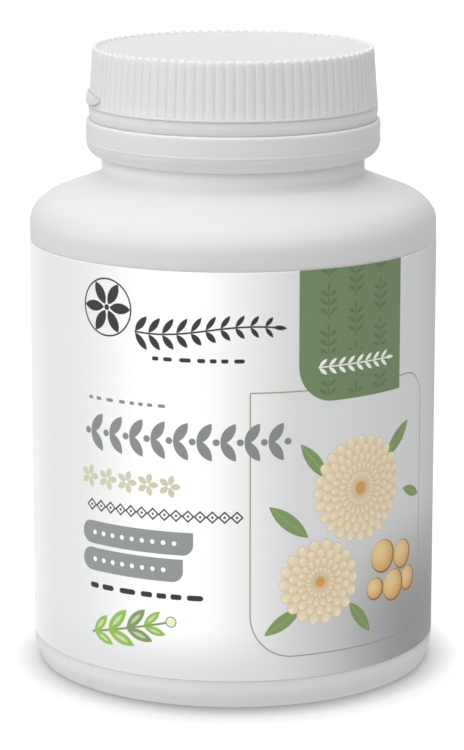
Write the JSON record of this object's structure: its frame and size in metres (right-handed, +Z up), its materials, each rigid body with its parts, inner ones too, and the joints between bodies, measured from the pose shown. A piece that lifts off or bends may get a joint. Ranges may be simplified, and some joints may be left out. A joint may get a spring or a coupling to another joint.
{
  "type": "supplement bottle",
  "caption": "White plastic supplement bottle with a round shoulder and collar, a ribbed screw cap over a tear-off band, and a wrap-around printed label.",
  "frame": {"origin": "middle of the base, on the plane that the bottle stands on", "axes": "+Z up along the bottle's axis; the front of the label faces -Y; the pull tab of the tear-off band is on the -X side"},
  "size_m": [0.06, 0.06, 0.092],
  "materials": {
    "bottle_plastic": "satin",
    "label_print": "satin",
    "band_plastic": "satin",
    "cap_plastic": "satin",
    "liner_foam": "matte"
  },
  "bodies": {
    "bottle_body": {"bottle": "bottle_plastic", "label": "label_print", "tear_band": "band_plastic"},
    "liner_body": {"liner": "liner_foam"},
    "cap_body": {"cap": "cap_plastic"}
  },
  "joints": [
    {"name": "cap_lift", "type": "slide", "parent": "bottle_body", "child": "liner_body", "axis": [0, 0, 1], "range_m": [0, 0.00241]},
    {"name": "cap_turn", "type": "hinge", "parent": "liner_body", "child": "cap_body", "pos_m": [0, 0, 0.0876], "axis": [0, 0, 1], "range_deg": [0, 270]}
  ],
  "couplings": [
    {"joint": "cap_lift", "follows": "cap_turn", "m_per_rad": 0.0005093}
  ]
}
